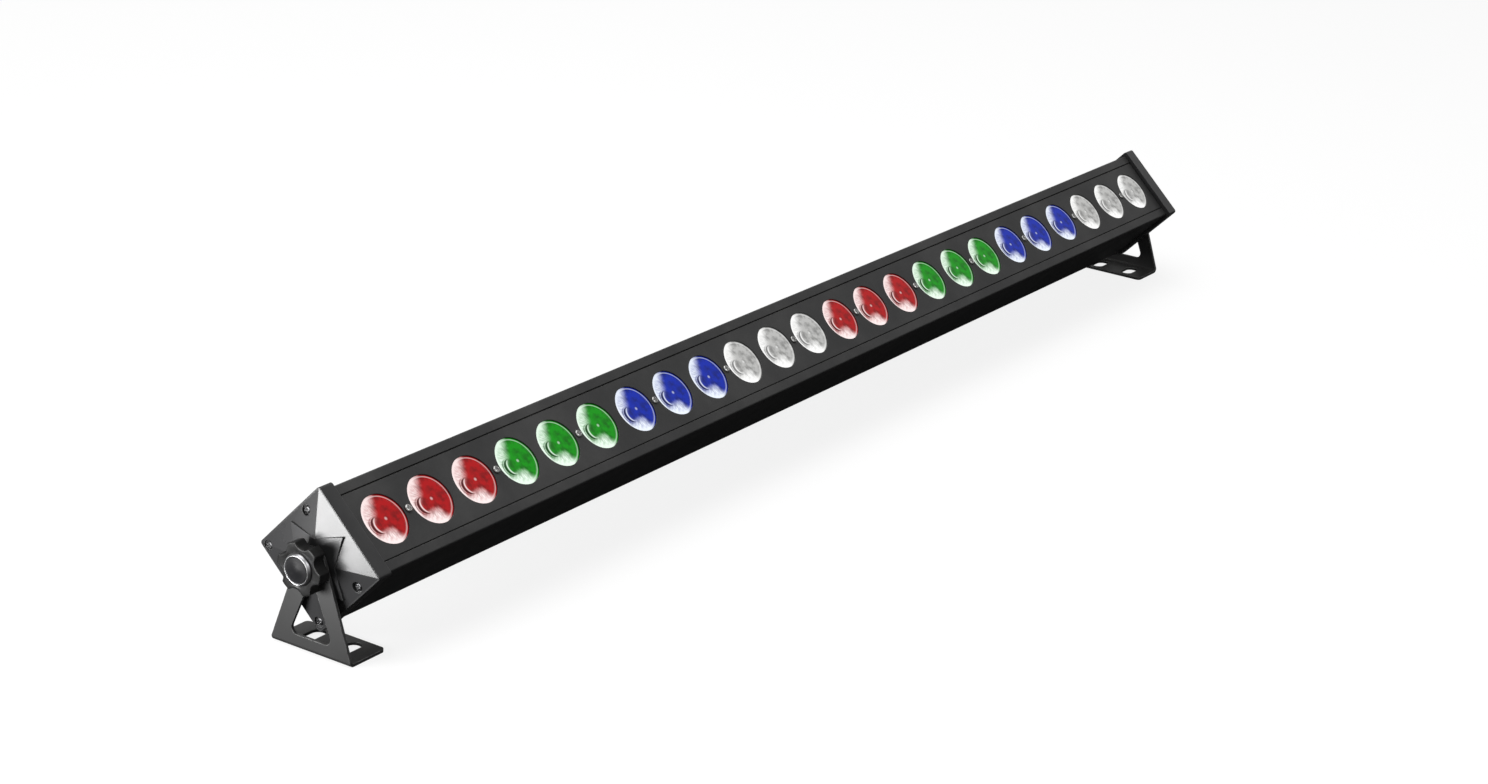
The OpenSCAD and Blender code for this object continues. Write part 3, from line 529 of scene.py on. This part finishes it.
def make_lens_painted_light():
    """Painted light over a lens face, whose UV map runs from -1 to 1 over its rim: Painted
    Reflection for the painted reflections of the room and the painted highlights, Dark for
    the painted shade of the crescent, Rim for the painted highlight on the moulded edge."""
    group = new_group("lens_painted_light", {"Streaks": 0.35},
                      {"Painted Reflection": 0.0, "Dark": 0.0, "Rim": 0.0, "Mottle": 0.0})
    into, out = group.nodes["in"].outputs, group.nodes["out"].inputs
    chart = add_node(group, "ShaderNodeUVMap", {"uv_map": "lens_face"}).outputs[0]
    split = add_node(group, "ShaderNodeSeparateXYZ", Vector=chart).outputs
    across = maths(group, "MULTIPLY_ADD", split["X"], 2.0, -1.0)
    up = maths(group, "MULTIPLY_ADD", split["Y"], 2.0, -1.0)
    radius = from_point(group, across, up, (0.0, 0.0))
    turn = maths(group, "ARCTAN2", up, across)

    # long radial streaks
    polar = add_node(group, "ShaderNodeCombineXYZ", X=turn, Y=maths(group, "MULTIPLY", radius, 0.5))
    streak = add_node(group, "ShaderNodeTexNoise", Vector=polar.outputs[0], Scale=9.0, Detail=4.0)
    mottle = add_node(group, "ShaderNodeTexNoise", Vector=chart, Scale=7.0, Detail=6.0)
    ragged = maths(group, "MULTIPLY_ADD", mottle.outputs[0], 0.24, -0.12)

    # painted reflections: upper left patch, left rim and lower patch
    upper = line_side(group, across, up, (-0.874, 0.486), (0.16, 0.95))
    upper = ramp(group, maths(group, "ADD", upper, ragged), -0.12, 0.4)
    above = ramp(group, maths(group, "ADD", up, ragged), -0.2, 0.25)
    upper = maths(group, "MULTIPLY", maths(group, "MULTIPLY", upper, above), 0.9)
    lower = maths(group, "MINIMUM", line_side(group, across, up, (0.0, -1.0), (0.0, -0.34)),
                  line_side(group, across, up, (-0.88, -0.47), (0.18, -0.34)))
    lower = ramp(group, maths(group, "ADD", lower, ragged), -0.1, 0.34)
    side = ramp(group, line_side(group, across, up, (-1.0, 0.0), (-0.7, 0.0)), -0.1, 0.14)
    painted_reflection = maths(group, "MAXIMUM", maths(group, "MAXIMUM", upper, lower), side)
    thin = maths(group, "MULTIPLY", into["Streaks"], ramp(group, streak.outputs[0], 0.4, 0.6))
    thin = maths(group, "MULTIPLY", thin, ramp(group, radius, 0.98, 0.7))
    painted_reflection = maths(group, "MULTIPLY", painted_reflection, maths(group, "SUBTRACT", 1.0, thin))

    # crescents of the hollow over the emitter, and its bright middle: painted shade in the dark
    # crescent, painted highlights in the bright crescent and the dot
    dark = crescent(group, across, up, (-0.37, -0.12), (-0.24, -0.12), 0.35, 0.03)
    thin_arc = crescent(group, across, up, (-0.44, -0.12), (-0.39, -0.12), 0.38, 0.02)
    dark = maths(group, "MAXIMUM", dark, maths(group, "MULTIPLY", thin_arc, 0.8))
    bright = crescent(group, across, up, (-0.23, -0.12), (-0.16, -0.12), 0.35, 0.03)
    left = ramp(group, line_side(group, across, up, (-1.0, 0.0), (-0.3, 0.0)), 0.0, 0.1)
    bright = maths(group, "MULTIPLY", bright, left)
    dot = ramp(group, from_point(group, across, up, (0.12, 0.02)), 0.09, 0.02)
    painted_reflection = maths(group, "MAXIMUM", painted_reflection, maths(group, "MULTIPLY", bright, 0.85))
    painted_reflection = maths(group, "MAXIMUM", painted_reflection, maths(group, "MULTIPLY", dot, 0.45))
    painted_reflection = maths(group, "MULTIPLY", painted_reflection, maths(group, "SUBTRACT", 1.0, dark))

    # moulded rim, with a painted highlight along it
    rim = maths(group, "MULTIPLY", ramp(group, radius, 0.89, 0.92), ramp(group, radius, 0.96, 0.93))
    group.links.new(painted_reflection, out["Painted Reflection"])
    group.links.new(dark, out["Dark"])
    group.links.new(rim, out["Rim"])
    group.links.new(mottle.outputs[0], out["Mottle"])
    return group


LENS_PAINTED_LIGHT = make_lens_painted_light()
print("lens pattern has", len(LENS_PAINTED_LIGHT.nodes), "nodes")

# %% Lens materials
# each lens: the emitter's glowing colour, the painted shade of its dark crescent, and the colour of
# its painted reflections and highlights
LENS_COLOURS = {
    "lens_red": ((0.40, 0.0, 0.002), (0.06, 0.0, 0.001), (1.0, 0.85, 0.84)),
    "lens_green": ((0.0, 0.27, 0.0), (0.0, 0.04, 0.002), (0.85, 1.0, 0.87)),
    "lens_blue": ((0.0, 0.018, 0.37), (0.0, 0.003, 0.06), (0.85, 0.91, 1.0)),
    "lens_white": ((0.48, 0.48, 0.47), (0.2, 0.2, 0.2), (1.0, 1.0, 0.99)),
}
LENS_GLOW = 1.0
LENS_BODY = 0.08  # share of the colour that also scatters the room's light
MOTTLE_SHADE = 0.5  # the darkest mottling, as a share of the glowing colour
# the moulded rim's paleness is a painted highlight
RIM_SHARE = 0.4  # how pale the moulded rim is


def lens_material(name, glow, shade, painted_reflection):
    """Clear acrylic over a coloured emitter: the painted-light masks choose between the
    glowing colour, its painted shade and the painted reflections and highlights, and a
    clear coat gives the polished face."""
    material = bpy.data.materials.new(name)
    material.use_nodes = True
    tree = material.node_tree
    shader = tree.nodes["Principled BSDF"]
    masks = place_group(tree, LENS_PAINTED_LIGHT)
    body = blend_colour(tree, ramp(tree, masks["Mottle"], 0.3, 0.62),
                        (*[MOTTLE_SHADE * level for level in glow], 1), (*glow, 1))
    body = blend_colour(tree, masks["Dark"], body, (*shade, 1))
    body = blend_colour(tree, masks["Painted Reflection"], body, (*painted_reflection, 1))
    body = blend_colour(tree, maths(tree, "MULTIPLY", masks["Rim"], RIM_SHARE), body, (*painted_reflection, 1))
    scatter = blend_colour(tree, LENS_BODY, (0, 0, 0, 1), body)
    tree.links.new(scatter, shader.inputs["Base Color"])
    # the painted reflections, highlights and shade are emitted too, so they glow
    tree.links.new(body, shader.inputs["Emission Color"])
    shader.inputs["Emission Strength"].default_value = LENS_GLOW
    shader.inputs["Roughness"].default_value = 0.2
    shader.inputs["Specular IOR Level"].default_value = 0.25
    shader.inputs["Coat Weight"].default_value = 0.3
    shader.inputs["Coat Roughness"].default_value = 0.05
    return material


for lens_name, colours in LENS_COLOURS.items():
    MATERIALS[lens_name] = lens_material(lens_name, *colours)
print("lens materials:", list(LENS_COLOURS))

# %% Lens surfaces
LENS_SEGMENTS = 72


def lens_profile(radius, top, foot):
    """From the pole of the foot's hollow, round the foot, up the cone, over the rim bead,
    and in across a slightly dished face."""
    cone_top = top - 3.0
    cone_radius = radius - 1.6
    dish = np.linspace(radius - 2.2, 0.0, 8)[:-1]
    dish_rows = np.stack([dish, top - 0.75 + 0.45 * (dish / radius) ** 2], -1)
    return stack_rows((0.3, foot + 5.0), (2.6, foot + 5.0), (3.2, foot), (5.5, foot),
                      (cone_radius, cone_top), (radius, cone_top),
                      fillet((radius - 0.5, top - 0.5), 0.5, 0, 90),
                      fillet((radius - 1.4, top - 0.5), 0.5, 90, 170), dish_rows)


lens_slots = {part["node"]: part["material_slot"] for part in record["subparts"]
              if part["material_slot"].startswith("lens_")}
for node, lens_slot in sorted(lens_slots.items()):
    low, high = flat_box(node)
    lens_radius = (high[0] - low[0]) / 2
    centre_x = (high[0] + low[0]) / 2
    points, quads, fans = turned(lens_profile(lens_radius, high[2], low[2]), LENS_SEGMENTS)
    chart = 0.5 + points[:, :2] / (2 * lens_radius)
    piece = add_piece(f"{node}_moulding", to_row(points + [centre_x, 0, 0]), quads, fans,
                      "batten", lens_slot, MATERIALS[lens_slot])
    layer = piece.data.uv_layers.new(name="lens_face")
    corner = np.empty(len(piece.data.loops), np.int32)
    piece.data.loops.foreach_get("vertex_index", corner)
    layer.data.foreach_set("uv", chart[corner].astype(np.float32).ravel())
    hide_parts(node)
print(len(lens_slots), "lenses, radius", round(float(lens_radius), 2), "mm")

# %% [markdown]
# ## Knobs
# A moulded knob has six lobes with hollows between them, and crisp edges that catch
# the light. Seen from the end, each hollow is a circle's arc about a point outside the
# knob, and the lobes are what is left of the outer circle. A bright bevelled ring
# round a dark dished disc closes the knob.

# %% Knob surfaces
LOBES = 6
LOBE_ANGLE = math.radians(54.6 + 90)  # of one lobe, from the flat frame's Y axis
HOLLOW_RADIUS = 6.5
WAIST_RADIUS = 12.8  # of the knob at the middle of a hollow
COLLAR_RADIUS = 9.5
RING_SINK = 0.3  # how deep the ring's foot lies in the knob
DISC_SINK = 0.25  # how far the disc lies below the ring's crest
RING_WIDTH = 1.75
KNOB_SEGMENTS, RING_SEGMENTS, DISC_SEGMENTS = 240, 128, 96


def lobe_limit(angle, tip, waist):
    """Distance from the axis to the knob's outline: the near side of the hollow's circle
    where a ray meets it, and the tip circle elsewhere, joined by a soft minimum."""
    from_hollow = np.mod(angle - LOBE_ANGLE, 2 * np.pi / LOBES) - np.pi / LOBES
    centre = waist + HOLLOW_RADIUS
    under = HOLLOW_RADIUS ** 2 - (centre * np.sin(from_hollow)) ** 2
    near = centre * np.cos(from_hollow) - np.sqrt(np.maximum(under, 0))
    near = np.where(under > 0, near, 1.3 * tip)
    return (tip ** -40.0 + near ** -40.0) ** (-1 / 40)


def lobed(tip, waist, side):
    """Draws a profile's outer rows in to the outline, and leaves its inner rows round: the
    share rises smoothly from 0 at 0.62 of the tip radius to 1 at 0.9. The angle runs the
    other way round on side -1."""
    def radius_of(radius, angle):
        share = np.clip((radius / tip - 0.62) / 0.28, 0, 1)
        share = share * share * (3 - 2 * share)
        return radius * (1 - share + share * lobe_limit(side * angle, tip, waist) / tip)
    return radius_of


def at_end(surface, side):
    """Lays a turned surface along X, so that its height becomes the distance from the
    batten's middle, towards +X for side 1 and -X for side -1."""
    points, quads, fans = surface
    turned_points = np.stack([side * points[:, 2], points[:, 0], side * points[:, 1]], -1)
    return to_row(turned_points), quads, fans


def knob_profile(base, top, collar, tip):
    """Collar, undercut, lobed side with filleted edges, and a face that is a little lower
    towards the ring."""
    under = base + 1.4
    face = np.array([0.93, 0.88, 0.8, 0.7, 0.6, 0.02]) * tip
    fall = np.stack([face, top - np.array([0, 0, 0.05, 0.15, 0.25, 0.25])], -1)
    return stack_rows((0.3, base), (collar, base), (collar, under), (tip - 0.9, under),
                      fillet((tip - 0.8, under + 0.8), 0.8, -90, 0),
                      fillet((tip - 0.55, top - 0.55), 0.55, 0, 90), fall)


def ring_profile(base, crest, radius):
    """A bevelled ring, rounded at its crest, with a shallow floor inside it."""
    lip = radius - 1.0
    return stack_rows((0.3, base), (radius, base), (radius, base + (crest - base) / 3),
                      fillet((lip - 0.25, crest - 0.3), 0.3, 40, 140, 5), (lip - 0.7, crest - 0.6),
                      (0.3, crest - 0.6))


def disc_profile(top, radius):
    """A thin disc, dished by a fraction of a millimetre, that lies inside the ring."""
    reach = np.linspace(radius, 0.3, 9)
    dished = np.stack([reach, top - 0.2 * np.cos(np.pi * reach / radius / 2)], -1)
    return stack_rows((0.3, top - 0.35), (radius, top - 0.35), dished)


for side, end in ((-1, "left"), (1, "right")):
    body, low_high = f"knob_{end}", flat_box(f"knob_{end}")
    base, top = np.sort(np.abs([corner[0] for corner in low_high]))
    tip = np.linalg.norm(flat_points(body)[:, 1:], axis=1).max() - 0.02
    shape = turned(knob_profile(base, top, COLLAR_RADIUS, tip), KNOB_SEGMENTS,
                   lobed(tip, WAIST_RADIUS, side))
    grip = add_piece(f"{body}_grip", *at_end(shape, side), body, "knob_plastic",
                     MATERIALS["knob_plastic"])
    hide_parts(body)
    low, high = flat_box(f"knob_button_{end}")
    crest = max(abs(low[0]), abs(high[0]))
    ring_shape = turned(ring_profile(top - RING_SINK, crest, high[1]), RING_SEGMENTS)
    ring = add_piece(f"{body}_ring", *at_end(ring_shape, side), body, "button_metal",
                     MATERIALS["button_rim"])
    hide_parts(f"knob_button_{end}")
    disc_shape = turned(disc_profile(crest - DISC_SINK, high[1] - RING_WIDTH), DISC_SEGMENTS)
    add_piece(f"{body}_disc", *at_end(disc_shape, side), body, "button_metal",
              MATERIALS["button_disc"])
    print(end, "knob: radius", round(float(tip), 2), "crest at", round(float(crest), 2), "mm")

# %% [markdown]
# ## Screw heads
# A pan head is a dome with a cross recess. The dome's height falls with the fourth
# power of the radius, which keeps its middle flat, and the recess is pressed in where
# a point lies near one of two crossing lines. The CAD's screws give the places: each
# group's vertices are parted wherever they leave a wide gap.

# %% Screw head surface
def screw_head(radius, height, segments=64, rings=18):
    """A closed pan head: a flattened dome, minus a cross whose two arms are bands about
    two lines and end at six tenths of the radius."""
    ring = radius * np.linspace(1, 0.02, rings)
    angle = np.linspace(0, 2 * np.pi, segments, endpoint=False)
    reach, turn = np.meshgrid(ring, angle, indexing="ij")
    x, y = reach * np.cos(turn), reach * np.sin(turn)
    dome = height * (1 - 0.5 * (reach / radius) ** 4)
    band = np.minimum(np.abs(x), np.abs(y))
    arms = np.clip((0.17 * radius - band) / 0.12, 0, 1)
    cross = arms * np.clip((0.6 * radius - reach) / 0.2, 0, 1)
    top = np.stack([x, y, dome - 0.55 * height * cross], -1).reshape(-1, 3)
    foot = np.stack([radius * np.cos(angle), radius * np.sin(angle), 0 * angle - 0.05], -1)
    points, fans = close_ends(np.vstack([foot, top]), rings + 1, segments)
    return points, grid_faces(rings + 1, segments), fans


def part_at_gaps(group, axis, gap):
    """A group of points as several, parted where the sorted coordinates jump by over a gap."""
    ordered = group[np.argsort(group[:, axis])]
    return np.split(ordered, np.flatnonzero(np.diff(ordered[:, axis]) > gap) + 1)


def screw_centres(node, cuts):
    """Middle of each screw of a CAD node, from its vertices parted along the given axes."""
    groups = [flat_points(node)]
    for axis, gap in cuts:
        groups = [part for group in groups for part in part_at_gaps(group, axis, gap)]
    return np.array([(group.min(0) + group.max(0)) / 2 for group in groups])


print("a screw head has", len(screw_head(2.6, 1.5)[0]), "points")

# %% Place the screw heads
chance = np.random.default_rng(11)


def head_places(seats, across, up, out):
    """A 3 x 4 placing for each seat: the head's own axes across, up and out, turned about
    out by a chance angle."""
    turn = chance.uniform(0, np.pi / 2, len(seats))[:, None]
    first = np.cos(turn) * across + np.sin(turn) * up
    second = np.cos(turn) * up - np.sin(turn) * across
    along = np.repeat([out], len(seats), 0)
    return np.stack([first, second, along, seats], -1)


def add_screws(node, cuts, axis, radius, height, seat, finish="screw_steel"):
    """Detailed heads for a CAD screw group, facing away from the tilt axis along one
    flat-frame axis, with their undersides seat millimetres from it."""
    seats = screw_centres(node, cuts)
    facing = np.sign(seats[:, axis])
    seats[:, axis] = facing * seat
    across, up, out = np.roll(np.eye(3), -axis - 1, 0)
    places = [head_places(seats[facing == sign], sign * across, up, sign * out)
              for sign in np.unique(facing)]
    points, quads, fans = copies(screw_head(radius, height), np.concatenate(places))
    piece = add_piece(f"{node}_heads", to_row(points), quads, fans, "batten", "screw_steel",
                      MATERIALS[finish])
    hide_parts(node)
    print(node, len(seats), "heads")


PARTED = 3.0  # a wider gap than this lies between two screws
CAPS_PARTED = 100.0  # and a wider one than this between the two caps
HEAD_SIZE, CAP_HEAD_SIZE = (2.6, 1.5), (2.35, 1.0)  # radius and height
UNDERSIDE = 1.7  # from a screw's outer end to the underside of its head
panel_top = flat_box("panel_screws")[1][2]
cap_reach = flat_box("end_cap_screws")[1][0]
rear_low = flat_box("rear_panel_screws")[0][2]
add_screws("panel_screws", [(0, PARTED), (1, PARTED)], 2, *HEAD_SIZE, panel_top - UNDERSIDE)
add_screws("end_cap_screws", [(0, CAPS_PARTED), (1, PARTED), (2, PARTED)], 0, *CAP_HEAD_SIZE,
           cap_reach - UNDERSIDE, "screw_black")
add_screws("rear_panel_screws", [(0, PARTED), (1, PARTED)], 2, *HEAD_SIZE,
           -rear_low - UNDERSIDE)

# %% Put the finishes on the CAD nodes
OTHER_FINISHES = {"knob_button_left": "button_rim", "knob_button_right": "button_rim",
                  "end_cap_screws": "screw_black"}
for part in record["subparts"]:
    node, finish = part["node"], part["material_slot"]
    if finish in LENS_COLOURS:
        continue
    node_object = frame["nodes"][node]
    node_object.data.materials.clear()
    node_object.data.materials.append(MATERIALS[OTHER_FINISHES.get(node, finish)])
print("finishes placed")

# %% Update the view layer
bpy.context.view_layer.update()
